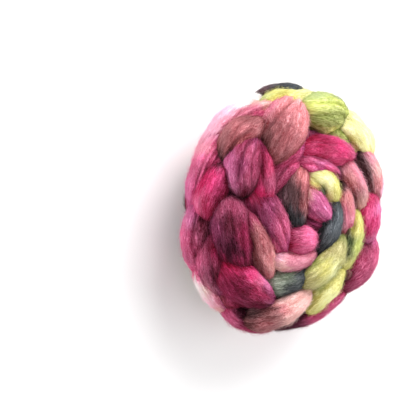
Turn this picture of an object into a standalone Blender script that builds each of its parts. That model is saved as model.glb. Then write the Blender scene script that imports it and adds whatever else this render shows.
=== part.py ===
"""A coil of chain-looped wool roving, lying on its back.

One continuous rope of combed wool is looped into a chain, and the chain is wound on edge
into a thick round coil. The plump lobes of the chain stand in relief all over it. Those
on the face and on the rim beside it are placed one by one, and rows of like lobes carry
the chain on round the rest of the rim and over the back, which is pressed flat where it
lies.

Units are metres. +Z is the coil's axis, out of its face, and the back rests on z = 0.
"""

import math
from typing import NamedTuple

import bmesh
import bpy
import numpy as np
from mathutils.bvhtree import BVHTree

MM = 0.001

# The coil as a whole: a puck with a well rounded rim.
COIL_RADIUS = 86 * MM
COIL_THICKNESS = 78 * MM
BODY_POWER = 2.5  # 2 would be an ellipsoid; more is squarer
CORE_DEPTH = 13 * MM  # the inner turns close the coil this far under its surface
AXIS_X = 0.05 * MM  # where the axis stands, so that the origin is under the middle
AXIS_Y = -0.43 * MM

# The line of sight along which the lobes of the face are placed.
VIEW_TILT = math.radians(33)  # between the coil's axis and the line of sight
VIEW_DISTANCE = 567 * MM
PIXEL = 0.70 * MM  # what one pixel measures at the coil
PICTURE_MIDDLE = (208, 208)
COIL_PIXEL = (283, 208)  # where the coil's middle shows
SIGHT_STEPS = 800  # places tried along each line of sight
SIGHT_SPAN = 0.2  # how far before and behind the coil, as a share of the distance

# A lobe: how the rope swells between two stitches.
TIP_DIP = 7 * MM  # its ends dive this far under their neighbours
FULLNESS = 2.4  # 2 makes an ellipse of it; more keeps its width longer
LOBE_STEPS = 24  # along it
LOBE_SIDES = 24  # round it
UNEVEN_STEP = 3  # degrees by which the lobes of a row stray from even steps
UNEVEN_WIDTH = 0.08  # share by which they are thicker or thinner

# The relief: points spread over a ball, drawn onto the coil.
BALL_SPLITS = 7  # how often the ball's twenty triangles are split in four
LOOK_FROM = 20 * MM  # heights are read from this far outside the body
SOFTENING = 4  # passes that round the creases between the lobes
TRIANGLES = 11600  # kept, most of them where the surface bends
PRESS = 0.15 * MM  # what comes this near the resting plane is pressed onto it


class Lobe(NamedTuple):
    """One lobe placed by eye: the pixels of its course, its width and its lift.

    The lift is how far it stands out of the coil's body, and the belly is the share of
    its length at which it is widest.
    """

    start: tuple
    middle: tuple
    end: tuple
    width: float
    lift: float
    belly: float = 0.5


PLACED_LOBES = {
    # the outer turn's upper loops, round the face from the top left
    "salmon_top": Lobe((297, 104), (284, 132), (271, 166), 31.5 * MM, 6 * MM, 0.46),
    "brown_shoulder": Lobe((267, 121), (237, 135), (225, 164), 22.5 * MM, 2 * MM),
    "purple_oval": Lobe((258, 136), (245, 166), (247, 199), 26.5 * MM, 5 * MM),
    "crimson_strand": Lobe((257, 138), (265, 170), (260, 208), 11 * MM, 1 * MM),
    "hot_pink_left": Lobe((228, 162), (212, 192), (204, 222), 18 * MM, -1 * MM),
    "mauve_wide": Lobe((228, 199), (234, 236), (243, 274), 30 * MM, 4 * MM),
    "rose_slim": Lobe((242, 208), (260, 243), (270, 277), 15.5 * MM, 2 * MM),
    "maroon_upright": Lobe((211, 226), (210, 262), (220, 300), 15.5 * MM, -2 * MM),
    "magenta_leaf": Lobe((222, 258), (245, 280), (274, 300), 26.5 * MM, 5 * MM),
    "salmon_foot": Lobe((238, 326), (277, 313), (314, 287), 19 * MM, 1 * MM),
    "yellow_low": Lobe((338, 260), (322, 288), (296, 313), 18.5 * MM, 0),
    "lime_right": Lobe((354, 205), (350, 242), (336, 275), 16 * MM, 0),
    "salmon_band": Lobe((335, 158), (352, 187), (355, 218), 17.5 * MM, -2 * MM),
    "crimson_brow": Lobe((294, 152), (323, 149), (354, 158), 20.5 * MM, 3 * MM),
    "pink_slip": Lobe((314, 136), (293, 150), (264, 172), 14 * MM, -1 * MM),
    # the inner turn and the middle
    "mauve_slip": Lobe((303, 156), (281, 172), (265, 200), 15.5 * MM, -3 * MM),
    "pink_brow": Lobe((293, 165), (315, 166), (339, 181), 10.5 * MM, -1 * MM),
    "plum_upright": Lobe((299, 162), (291, 197), (293, 232), 23 * MM, 1 * MM),
    "purple_slope": Lobe((254, 186), (270, 218), (284, 256), 24.5 * MM, 3 * MM),
    "yellow_hook": Lobe((304, 175), (327, 181), (333, 204), 12.5 * MM, -2 * MM),
    "pink_tuft": Lobe((302, 190), (314, 206), (331, 225), 17 * MM, -1 * MM, 0.42),
    "charcoal_crescent": Lobe((331, 195), (329, 228), (310, 256), 18 * MM, 0),
    "pink_knob": Lobe((284, 244), (299, 240), (314, 240), 20.5 * MM, 2 * MM),
    "blush_band": Lobe((265, 251), (290, 261), (317, 252), 12.5 * MM, -2 * MM),
    "sage_band": Lobe((262, 287), (286, 281), (310, 269), 17 * MM, -3 * MM),
    "yellow_high": Lobe((342, 237), (327, 264), (301, 286), 17.5 * MM, 3 * MM),
    "rose_inner": Lobe((337, 180), (345, 210), (342, 243), 12 * MM, -4 * MM),
    "grey_chink": Lobe((334, 266), (344, 276), (354, 282), 10.5 * MM, -5 * MM),
    # the outer turn's lower loops, on the rim
    "olive_ball": Lobe((301, 115), (325, 114), (347, 116), 30 * MM, 4 * MM),
    "yellow_crest": Lobe((255, 107), (285, 97), (317, 101), 13.5 * MM, -2 * MM),
    "charcoal_crest": Lobe((243, 99), (281, 91), (312, 95), 11 * MM, -6 * MM),
    "blush_slip": Lobe((284, 105), (258, 111), (230, 124), 12 * MM, -3 * MM),
    "white_rim": Lobe((272, 104), (234, 119), (196, 168), 18 * MM, -2 * MM),
    "pink_rim": Lobe((228, 134), (204, 168), (193, 214), 18 * MM, -2 * MM),
    "mauve_rim": Lobe((202, 198), (197, 237), (201, 274), 19.5 * MM, -2 * MM),
    "white_heel": Lobe((202, 256), (210, 284), (229, 311), 16 * MM, -4 * MM),
    "magenta_heel": Lobe((222, 286), (238, 312), (272, 328), 17.5 * MM, -6 * MM),
    "magenta_hem": Lobe((345, 278), (313, 303), (268, 324), 21 * MM, -3 * MM),
    "maroon_heel": Lobe((361, 228), (355, 260), (326, 292), 28.5 * MM, 1 * MM),
    "pink_edge": Lobe((370, 184), (366, 215), (364, 244), 20 * MM, 0),
    "salmon_edge": Lobe((350, 146), (364, 173), (371, 203), 24 * MM, 1 * MM),
    "pale_yellow": Lobe((328, 112), (351, 133), (368, 154), 23 * MM, 0),
}


class Row(NamedTuple):
    """A ring of like lobes, placed in degrees round the axis and over the rim.

    Over is 0 at the face's middle, 90 half way down the rim and 180 at the back's middle.
    Reach is half a lobe's length round the axis, and slant is how far over the rim each
    end of it leans.
    """

    first: float
    last: float
    count: int
    over: float
    reach: float
    slant: float
    width: float
    lift: float


LOBE_ROWS = {
    "shoulder": Row(-80, 88, 5, 64, 24, 10, 25 * MM, -9 * MM),
    "rim": Row(-118, 112, 7, 106, 25, 11, 29 * MM, -1 * MM),
    "rim_under": Row(130, 250, 3, 112, 25, 12, 27 * MM, -8 * MM),
    "back_edge": Row(0, 360, 11, 133, 25, -14, 28 * MM, -3 * MM),
    "back_turn": Row(10, 370, 8, 156, 33, 10, 29 * MM, 4 * MM),
    "back_middle": Row(0, 360, 3, 172, 60, 3, 26 * MM, 5 * MM),
}


def body_point(azimuth, over, inset):
    """Points of the coil's rounded body, taken in by inset.

    Its profile is a superellipse. The radius is |sin over| and the height is cos over,
    each to the power 2 / BODY_POWER, times the body's half sizes less the inset.
    """
    power = 2 / BODY_POWER
    half = COIL_THICKNESS / 2
    radius = (COIL_RADIUS - inset) * np.abs(np.sin(over)) ** power
    height = (half - inset) * np.sign(np.cos(over)) * np.abs(np.cos(over)) ** power
    return np.stack(
        [radius * np.cos(azimuth), radius * np.sin(azimuth), half + height], axis=-1
    )


def body_level(points, inset):
    """1 on the coil's body taken in by inset, less inside it and more outside."""
    half = COIL_THICKNESS / 2
    radius = np.hypot(points[..., 0], points[..., 1]) / (COIL_RADIUS - inset)
    height = np.abs(points[..., 2] - half) / (half - inset)
    return radius**BODY_POWER + height**BODY_POWER


def on_sight_line(pixel, inset):
    """Where the line of sight through a pixel meets the body taken in by inset.

    A line that passes the body by gives its nearest point to the body instead.
    """
    right = np.array([math.cos(VIEW_TILT), 0, math.sin(VIEW_TILT)])
    up = np.array([0, 1, 0])
    towards_eye = np.array([-math.sin(VIEW_TILT), 0, math.cos(VIEW_TILT)])
    coil_middle = np.array([0, 0, COIL_THICKNESS / 2])
    aside = (pixel[0] - COIL_PIXEL[0]) * PIXEL
    above = (COIL_PIXEL[1] - pixel[1]) * PIXEL
    eye_aside = (PICTURE_MIDDLE[0] - COIL_PIXEL[0]) * PIXEL
    eye_above = (COIL_PIXEL[1] - PICTURE_MIDDLE[1]) * PIXEL
    target = coil_middle + aside * right + above * up
    eye = coil_middle + eye_aside * right + eye_above * up + VIEW_DISTANCE * towards_eye
    share = np.linspace(1 - SIGHT_SPAN, 1 + SIGHT_SPAN, SIGHT_STEPS)[:, None]
    line = eye + share * (target - eye)
    level = body_level(line, inset)
    inside = np.flatnonzero(level <= 1)
    return line[inside[0] if len(inside) else np.argmin(level)]


def through(start, middle, end, share):
    """A parabola from start to end that passes middle at half its length."""
    start, middle, end = (np.asarray(p, float) for p in (start, middle, end))
    pull = 2 * middle - (start + end) / 2
    share = share[:, None]
    return (1 - share) ** 2 * start + 2 * share * (1 - share) * pull + share**2 * end


def lobe_radius(share, width, belly):
    """Half the rope's width along a lobe: nothing at the tips, full at the belly."""
    warped = share ** (math.log(0.5) / math.log(belly))
    return width / 2 * (1 - np.abs(2 * warped - 1) ** FULLNESS) ** 0.6


def tip_dip(share):
    """How far a lobe dives along its length: not in its middle, most at its tips."""
    return TIP_DIP * np.abs(2 * share - 1) ** 3


def placed_course(lobe):
    """The middle line and the radii of a lobe placed by eye, under the body's surface."""
    share = np.linspace(0, 1, LOBE_STEPS + 1)
    pixels = through(lobe.start, lobe.middle, lobe.end, share)
    insets = lobe.width / 2 - lobe.lift + tip_dip(share)
    points = [on_sight_line(pixel, inset) for pixel, inset in zip(pixels, insets)]
    return np.array(points), lobe_radius(share, lobe.width, lobe.belly)


def row_course(row, number):
    """The middle line and the radii of one lobe of a row."""
    share = np.linspace(0, 1, LOBE_STEPS + 1)
    lean = 2 * share - 1
    middle = row.first + (row.last - row.first) * number / row.count
    middle += UNEVEN_STEP * math.sin(1.7 * number)
    width = row.width * (1 + UNEVEN_WIDTH * math.sin(2.4 * number))
    points = body_point(
        np.radians(middle + row.reach * lean),
        np.radians(row.over + row.slant * lean),
        width / 2 - row.lift + tip_dip(share),
    )
    return points, lobe_radius(share, width, 0.5)


def tube(points, radii):
    """Vertices and faces of a round tube along points, closed where its radius is 0."""
    along = np.gradient(points, axis=0)
    along /= np.linalg.norm(along, axis=1)[:, None]
    across = np.cross(along, points - [0, 0, COIL_THICKNESS / 2])
    across /= np.linalg.norm(across, axis=1)[:, None]
    outward = np.cross(across, along)
    turn = np.linspace(0, 2 * np.pi, LOBE_SIDES, endpoint=False)[:, None]
    ring = np.cos(turn) * across[:, None] + np.sin(turn) * outward[:, None]
    vertices = points[:, None] + radii[:, None, None] * ring
    first = np.arange(len(points) - 1)[:, None] * LOBE_SIDES
    here = np.arange(LOBE_SIDES)[None, :]
    after = (here + 1) % LOBE_SIDES
    below = first + LOBE_SIDES
    quads = np.stack([first + here, first + after, below + after, below + here], axis=-1)
    return vertices.reshape(-1, 3), quads.reshape(-1, 4)


def all_lobes():
    """Vertices and faces of every lobe of the coil."""
    courses = [placed_course(lobe) for lobe in PLACED_LOBES.values()]
    for row in LOBE_ROWS.values():
        courses += [row_course(row, number) for number in range(row.count)]
    tubes = [tube(points, radii) for points, radii in courses]
    starts = np.cumsum([0] + [len(vertices) for vertices, _ in tubes])
    faces = [quads + start for (_, quads), start in zip(tubes, starts)]
    return np.concatenate([vertices for vertices, _ in tubes]), np.concatenate(faces)


def body_below(ball):
    """Points of the body towards a unit ball's points, and the way out of it there."""
    half_sizes = np.array([COIL_RADIUS, COIL_RADIUS, COIL_THICKNESS / 2])
    scaled = ball / half_sizes
    flat = np.hypot(scaled[:, 0], scaled[:, 1])[:, None]
    steep = np.abs(scaled[:, 2:])
    reach = (flat**BODY_POWER + steep**BODY_POWER) ** (-1 / BODY_POWER)
    slopes = np.hstack([flat, flat, steep]) ** (BODY_POWER - 2)
    outward = scaled / half_sizes * slopes
    outward /= np.linalg.norm(outward, axis=1)[:, None]
    return ball * reach + [0, 0, COIL_THICKNESS / 2], outward


def relief(ball):
    """The coil's outermost points over a unit ball's points, looked at from outside."""
    vertices, faces = all_lobes()
    tree = BVHTree.FromPolygons(vertices.tolist(), faces.tolist())
    points, outward = body_below(ball)
    found = points - CORE_DEPTH * outward
    eyes = points + LOOK_FROM * outward
    for number, (eye, out) in enumerate(zip(eyes, outward)):
        hit = tree.ray_cast(eye, -out, LOOK_FROM + CORE_DEPTH)[0]
        if hit is not None:
            found[number] = hit
    return found


def rest_flat(vertices):
    """Presses onto the resting plane what would reach it."""
    for vertex in vertices:
        if vertex.co.z < PRESS:
            vertex.co.z = 0


def fine_relief():
    """The coil as a fine closed mesh: a ball drawn onto the lobes, its creases rounded."""
    shape = bmesh.new()
    bmesh.ops.create_icosphere(shape, subdivisions=BALL_SPLITS, radius=1)
    ball = np.array([vertex.co for vertex in shape.verts])
    for vertex, place in zip(shape.verts, relief(ball)):
        vertex.co = place
    every_way = {"use_axis_x": True, "use_axis_y": True, "use_axis_z": True}
    for _ in range(SOFTENING):
        bmesh.ops.smooth_vert(shape, verts=shape.verts[:], factor=0.5, **every_way)
    rest_flat(shape.verts)
    bmesh.ops.translate(shape, vec=(AXIS_X, AXIS_Y, 0), verts=shape.verts[:])
    mesh = bpy.data.meshes.new("fine_relief")
    shape.to_mesh(mesh)
    shape.free()
    return mesh


def wound_roving():
    """The coil as one closed solid with few enough triangles, flat where it rests."""
    coil = bpy.data.objects.new("wound_roving", fine_relief())
    bpy.context.scene.collection.objects.link(coil)
    thinner = coil.modifiers.new("thinner", "DECIMATE")
    thinner.ratio = TRIANGLES / len(coil.data.polygons)
    thinned = coil.evaluated_get(bpy.context.evaluated_depsgraph_get())
    mesh = bpy.data.meshes.new_from_object(thinned)
    coil.modifiers.clear()
    coil.data = mesh
    rest_flat(mesh.vertices)
    mesh.shade_smooth()
    return coil


def dyed_wool():
    """Matt, magenta-dyed wool."""
    material = bpy.data.materials.new("dyed_wool")
    material.use_nodes = True
    shader = material.node_tree.nodes["Principled BSDF"]
    shader.inputs["Base Color"].default_value = (0.45, 0.06, 0.17, 1)
    shader.inputs["Roughness"].default_value = 0.95
    shader.inputs["Metallic"].default_value = 0.0
    return material


def main():
    """Clears the scene and builds the coil."""
    for found in list(bpy.data.objects):
        bpy.data.objects.remove(found)
    coil = wound_roving()
    coil.data.materials.append(dyed_wool())


if __name__ == "__main__":
    main()
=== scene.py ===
"""The looks of a coil of hand-dyed wool roving, lying on its back.

One rope of combed wool is looped into a chain, and the chain is wound up on edge. Each loop
is a plump surface with its locks, strands and partings in relief and its dyes along it.
Rows of like loops carry the chain on over the rim and the back, a core of inner turns closes
the coil, and single fibres lie along the loops and stand off them.

Units are metres, apart from the millimetres and pixels of the tables. +Z is the coil's axis,
out of its face, and the back rests on z = 0.
"""

import logging
import math
from dataclasses import dataclass
from enum import Enum
from typing import NamedTuple

import bpy
import numpy as np
from mathutils import Matrix


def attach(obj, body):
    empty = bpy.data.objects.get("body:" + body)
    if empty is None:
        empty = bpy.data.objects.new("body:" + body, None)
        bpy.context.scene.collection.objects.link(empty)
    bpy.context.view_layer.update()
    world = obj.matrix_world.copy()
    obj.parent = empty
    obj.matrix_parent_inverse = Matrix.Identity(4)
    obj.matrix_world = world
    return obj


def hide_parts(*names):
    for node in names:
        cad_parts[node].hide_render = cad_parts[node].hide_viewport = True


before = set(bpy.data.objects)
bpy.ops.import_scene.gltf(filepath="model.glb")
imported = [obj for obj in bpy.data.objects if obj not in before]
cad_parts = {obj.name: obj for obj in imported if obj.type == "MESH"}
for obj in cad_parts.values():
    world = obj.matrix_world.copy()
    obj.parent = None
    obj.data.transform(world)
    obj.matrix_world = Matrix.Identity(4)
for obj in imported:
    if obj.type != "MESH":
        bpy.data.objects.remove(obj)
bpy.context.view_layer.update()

Array = np.ndarray
Pixel = tuple[float, float]
Point = tuple[float, float, float]
Range = tuple[float, float]
Size = tuple[float, float]
Socket = bpy.types.NodeSocket

LOG = logging.getLogger("roving_coil")
MM = 0.001
TINY = 1e-12  # keeps a length of nothing from being divided by
NUDGE = 1e-9  # gives a level product a sign
CELL_MARGIN = 0.04  # the share of a loop's cell in the chart that stays free on each side
FIBRE_MARGIN = 0.2  # the same for a fibre's cell
FIBRE_FILL = 0.6  # the share of its cell that a fibre takes up each way
FIBRE_LAY = (1.7 * MM, 30 * MM)  # metres of the streak pattern in a fibre's cell
BODY = "root"
CAD_NODE = "wound_roving"
# the colour attribute holds each point's dye together with its painted shade and highlight
DYE_AND_SHADE_ATTRIBUTE = "dye"
LAY_MAP = "lay"  # metres across and along the fibres
BAKE_MAP = "OFBake"  # each loop or fibre in a cell of its own


class Dye(Enum):
    """The dyes on the rope, as red, green and blue out of 255."""

    # some of the dark dyes are also laid as painted shade in creases and in gaps between loops
    WHITE = (252, 246, 246)
    CREAM = (252, 234, 222)
    PALE_PINK = (252, 208, 226)
    BLUSH = (235, 161, 181)
    PINK = (238, 125, 172)
    HOT_PINK = (220, 66, 128)
    RASPBERRY = (202, 70, 116)
    CRIMSON = (176, 36, 82)
    MAGENTA = (148, 34, 74)
    MAROON = (110, 34, 56)
    CLARET = (114, 18, 48)
    WINE = (70, 16, 36)
    BERRY = (136, 54, 82)
    MAUVE = (184, 84, 120)
    ROSE_PINK = (212, 102, 144)
    ORCHID = (224, 130, 178)
    PURPLE = (160, 66, 108)
    ROSE = (196, 118, 125)
    TERRACOTTA = (173, 104, 109)
    BROWN = (126, 72, 74)
    UMBER = (82, 50, 52)
    SOOT = (58, 32, 34)
    SALMON = (228, 154, 159)
    PALE_SALMON = (244, 202, 196)
    PLUM = (106, 72, 80)
    CHARCOAL = (70, 72, 76)
    SLATE = (108, 114, 120)
    MIST = (170, 178, 162)
    SAGE = (138, 150, 128)
    MOSS = (100, 118, 82)
    OLIVE = (156, 164, 94)
    LIME = (220, 226, 138)
    STRAW = (197, 189, 134)
    PEAR = (194, 206, 144)
    YELLOW = (228, 222, 144)
    PALE_YELLOW = (254, 252, 201)

    @property
    def linear(self) -> Array:
        """The dye as scene-linear red, green and blue."""
        share = np.array(self.value) / 255
        return np.where(share <= 0.04045, share / 12.92, ((share + 0.055) / 1.055) ** 2.4)


class Blot(NamedTuple):
    """A spot of dye on a loop.

    Along runs from 0 at its start to 1 at its end. Across runs from -1 at its left edge in
    the picture to 1 at its right edge, for someone who follows it from start to end.
    """

    dye: Dye
    along: float
    across: float

    @classmethod
    def read(cls, text: str) -> "tuple[Blot, ...]":
        """The blots of a text: for each its dye, along and across, with commas between."""
        rows = (row.split() for row in text.split(","))
        return tuple(cls(Dye[dye.upper()], *map(float, places)) for dye, *places in rows)


class Parting(NamedTuple):
    """A crease between two locks of a loop, from one place on it to another."""

    along: float
    across: float
    to_along: float
    to_across: float
    depth: float

    @classmethod
    def read(cls, text: str) -> "tuple[Parting, ...]":
        """The partings of a text: their numbers in turn, the depth in mm, commas between."""
        rows = ([float(word) for word in row.split()] for row in text.split(",") if row)
        return tuple(cls(*places, depth * MM) for *places, depth in rows)


@dataclass(frozen=True)
class Loop:
    """A loop given by the pixels of its course, its thickness and its finish.

    Attributes:
        start: the pixel where it comes out from under its neighbour.
        middle: the pixel that it passes half way.
        end: the pixel where it dives again.
        width: how thick it is at its belly, in mm.
        lift: how far it stands out of the coil's body, in mm.
        dyes: the spots of dye on it, as Blot.read takes them.
        partings: its main creases, as Parting.read takes them.
        belly: the share of its length at which it is thickest.
        fullness: how blunt its ends are.
    """

    start: Pixel
    middle: Pixel
    end: Pixel
    width: float
    lift: float
    dyes: str
    partings: str = ""
    belly: float = 0.5
    fullness: float = 2.4


@dataclass(frozen=True)
class Ring:
    """A ring of like loops, placed in degrees round the axis and over the rim.

    Attributes:
        first: where the ring starts, round the axis.
        last: where it ends.
        count: how many loops it has.
        over: 0 at the face's middle, 90 half way down the rim, 180 at the back's middle.
        reach: half a loop's length round the axis.
        slant: how far over the rim each end of a loop leans.
        width: how thick a loop is, in mm.
        lift: how far it stands out of the coil's body, in mm.
        dyes: the dyes of its loops, in turn.
    """

    first: float
    last: float
    count: int
    over: float
    reach: float
    slant: float
    width: float
    lift: float
    dyes: str


UPPER_LOOPS = {
    "salmon_top": Loop(
        (291, 105), (278.5, 134), (266, 168), 33, 6,
        "pale_salmon .06 0, salmon .3 .3, blush .35 .85, salmon .4 -.7, rose .62 -.45, rose .4 .2, "
        "terracotta .6 .3, brown .7 .5, terracotta .82 -.2, brown .98 0",
        ".02 -.12 .66 .65 4", belly=0.46,
    ),
    "brown_shoulder": Loop(
        (264, 122.5), (238, 138), (226, 163), 20.5, 2,
        "terracotta .1 0, terracotta .2 .3, rose .45 .4, terracotta .7 .6, terracotta .6 -.3, "
        "rose .5 -.7, umber .95 0",
        ".3 -.3 .9 0 2", fullness=2.8,
    ),
    "purple_oval": Loop(
        (254, 139), (243.5, 165), (245, 197), 23, 5,
        "purple .1 0, mauve .35 .5, mauve .4 0, mauve .4 -.7, purple .55 .2, orchid .6 .9, "
        "mauve .7 -.3, claret .88 0, wine 1 0",
        ".15 .1 .8 .35 2, .2 -.45 .85 -.55 1.8",
    ),
    "crimson_strand": Loop(
        (253, 138), (261.5, 172), (262, 220), 16, 2,
        "purple .1 0, raspberry .42 -.8, magenta .4 .2, mauve .65 -.6, hot_pink .75 .4, "
        "raspberry .9 0",
        ".1 .1 .75 -.1 1.4",
    ),
    "hot_pink_left": Loop(
        (226, 162), (211, 192), (205, 223), 19, -1,
        "maroon .1 0, hot_pink .45 .35, pink .78 .8, magenta .5 -.7, crimson .75 .1, "
        "magenta .9 -.1",
    ),
    # painted shade: the wine blot at .58 along marks the crease between its two locks
    "mauve_wide": Loop(
        (229, 197), (232.5, 235), (243, 272), 24.5, 4,
        "mauve .12 .4, mauve .12 -.4, purple .4 .85, maroon .38 .1, wine .58 .2, magenta .5 -.6, "
        "magenta .78 .3, claret .85 -.5, wine 1 0",
        ".08 -.2 .5 -.05 1.2, .3 -.5 .8 -.3 1", fullness=2.8,
    ),
    "rose_slim": Loop(
        (240, 208), (257, 242), (269, 278), 18, 2,
        "mauve .1 0, terracotta .42 .4, rose .5 -.3, salmon .7 -.5, pale_salmon .78 -.9, "
        "terracotta .8 .7, salmon .95 -.2",
        ".35 .5 .85 .35 1.4",
    ),
    "maroon_upright": Loop(
        (214, 228), (213, 262), (225, 303), 19, -2,
        "mauve .3 .8, rose_pink .45 .8, berry .5 .3, magenta .3 -.2, maroon .6 -.6, purple .8 0, "
        "blush .8 .9",
        ".15 .3 .8 0 1.6",
    ),
    "magenta_leaf": Loop(
        (225, 260), (243, 283), (273, 300), 24.5, 5,
        "crimson .06 0, claret .34 .1, claret .46 .2, magenta .4 .8, crimson .2 -.3, "
        "crimson .6 -.2, hot_pink .44 -.7, pink .6 -.75, orchid .78 -.9, magenta .75 -.2, "
        "claret .78 .5, orchid .97 -.3",
        ".62 -.6 1 -.2 2.6", belly=0.46,
    ),
    "salmon_foot": Loop(
        (236, 315), (272.5, 315), (308.5, 289), 17.5, 4,
        "brown .1 0, brown .25 0, umber .33 -.6, terracotta .4 .5, brown .5 -.4, salmon .63 -.2, "
        "pale_salmon .62 .8, pale_salmon .7 -.5, pale_salmon .78 .1, pale_salmon .75 .7, "
        "pale_salmon .92 0",
        ".2 .3 .75 .1 1.4", fullness=3.6,
    ),
    # painted shade: the moss and olive blots on its upper edge darken the crease under yellow_high
    "yellow_low": Loop(
        (342, 256), (323, 289.5), (292, 322.5), 18, -1.5,
        "yellow .25 -.4, moss .22 .65, moss .38 .8, olive .5 .75, yellow .45 -.2, "
        "pale_yellow .55 -.6, yellow .65 .3, yellow .8 -.3, pear .9 .2",
        ".3 .3 .8 0 1.2",
    ),
    "lime_right": Loop(
        (354, 207), (350.5, 243), (337, 275), 14, 0,
        "yellow .12 0, lime .52 -.65, yellow .35 -.3, moss .5 .2, plum .45 .9, charcoal .6 .7, "
        "yellow .85 -.2",
        ".2 .1 .75 .3 1.6",
    ),
    "salmon_band": Loop(
        (335, 158), (353, 187), (358, 222), 18, -2,
        "blush .1 0, blush .4 -.7, salmon .4 0, umber .5 .85, pale_salmon .82 -.4, brown .85 .8",
        ".25 .4 .85 .2 2",
    ),
    "crimson_brow": Loop(
        (293, 154), (321, 150.5), (352, 157), 20, 3,
        "raspberry .15 0, raspberry .5 .4, crimson .4 -.6, hot_pink .7 -.1, raspberry .75 .7, "
        "rose_pink .9 -.2",
        fullness=2.8,
    ),
    "pink_slip": Loop(
        (314, 137), (292, 151), (264, 174), 15, -1,
        "purple .2 0, orchid .42 .2, rose_pink .6 -.3, mauve .9 0",
        ".2 0 .8 .2 1.4",
    ),
}

INNER_LOOPS = {
    "mauve_slip": Loop(
        (303, 156), (281, 173), (265, 200), 16, -3,
        "rose_pink .12 0, mauve .5 -.2, pink .4 .4, mauve .8 .3",
        ".15 .1 .8 -.1 1.3",
    ),
    "pink_brow": Loop(
        (291, 163), (315, 163.5), (340, 179), 13, 1,
        "mauve .15 0, mauve .45 -.6, pink .4 .3, orchid .6 .2, pink .75 .2, maroon .98 0",
        ".05 .2 .95 .3 1.6",
    ),
    "plum_upright": Loop(
        (297, 162), (289, 196), (290, 232), 24.5, 1,
        "plum .2 .5, salmon .2 -.4, rose .34 -.85, plum .5 .4, umber .5 -.1, terracotta .6 -.95, "
        "charcoal .8 -.3, charcoal .8 .5",
        ".15 -.45 .8 -.5 1.4", fullness=3.2,
    ),
    "purple_slope": Loop(
        (251, 186), (267, 219), (282, 257), 24.5, 3,
        "raspberry .12 0, purple .34 -.3, purple .5 .4, mauve .5 -1, rose_pink .6 -.5, "
        "rose_pink .8 .3, orchid .9 -.6",
        ".6 .1 1 -.25 2.2, .2 .5 .7 .6 1.8, .3 -.55 .9 -.6 1.8",
    ),
    "yellow_hook": Loop(
        (302.5, 176.5), (325, 180.5), (333, 205), 15, 0.5,
        "pale_yellow .2 0, pale_yellow .5 -.2, yellow .7 -.4, yellow .95 .3",
        ".3 .5 .7 .7 1.6", fullness=3.2,
    ),
    "rose_fluff": Loop(
        (306, 176), (313, 187), (325, 196), 9, -2,
        "pale_yellow .15 0, yellow .4 -.3, salmon .5 .6, moss .75 -.3, umber .92 0",
    ),
    "crimson_tuck": Loop(
        (301, 222), (314, 227), (330, 231), 10, -5,
        "purple .3 0, purple .55 -.3, maroon .8 .3",
        ".2 0 .9 .1 1.4",
    ),
    "pink_tuft": Loop(
        (303, 189), (314.5, 206), (332, 226), 17, 1,
        "pale_salmon .12 .3, orchid .4 -.4, orchid .5 .2, rose_pink .6 .9, orchid .72 -.1, "
        "orchid .9 0",
        ".45 .3 .98 -.1 2.2, .3 .7 .85 .45 2", belly=0.38,
    ),
    "charcoal_crescent": Loop(
        (331, 195), (328, 228), (309, 256), 18, 0,
        "charcoal .2 0, slate .45 -.4, charcoal .6 .5, charcoal .85 0",
    ),
    "pink_knob": Loop(
        (281, 244), (297, 240), (313, 240), 20.5, 2,
        "mauve .3 -.6, pink .6 -.5, berry .96 -.1, crimson .22 .4, pink .65 .3, rose_pink .6 .95",
    ),
    "blush_band": Loop(
        (265, 252), (290, 261), (318, 251), 13, -0.5,
        "pale_pink .2 0, blush .45 -.1, blush .6 .5, pale_salmon .3 .7, blush .85 0",
    ),
    "sage_band": Loop(
        (260, 287), (286, 281), (311, 268), 17, -2.5,
        "mist .22 -.4, mist .35 -.1, sage .5 -.6, charcoal .5 .6, slate .75 .2, charcoal .9 -.4",
    ),
    # painted shade: the olive blots at its two edges darken the creases beside it
    "yellow_high": Loop(
        (343, 235.5), (325.5, 265.5), (299, 284.5), 16.5, 5,
        "olive .04 0, straw .2 0, straw .35 .2, yellow .6 0, olive .6 1.1, pale_yellow .5 -.7, "
        "olive .5 -1.2, straw .85 0",
        ".4 -.3 .9 -.1 1.1",
    ),
    "rose_inner": Loop(
        (337, 180), (345, 210), (342, 243), 12.5, -3,
        "umber .08 0, salmon .35 -.3, blush .42 .6, blush .65 0, salmon .9 0",
        ".3 -.2 .95 -.4 1.4",
    ),
    "grey_chink": Loop(
        (332, 262), (342, 271.5), (354, 281), 9, -5,
        "sage .25 0, brown .55 0, purple .8 0",
    ),
}

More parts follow.
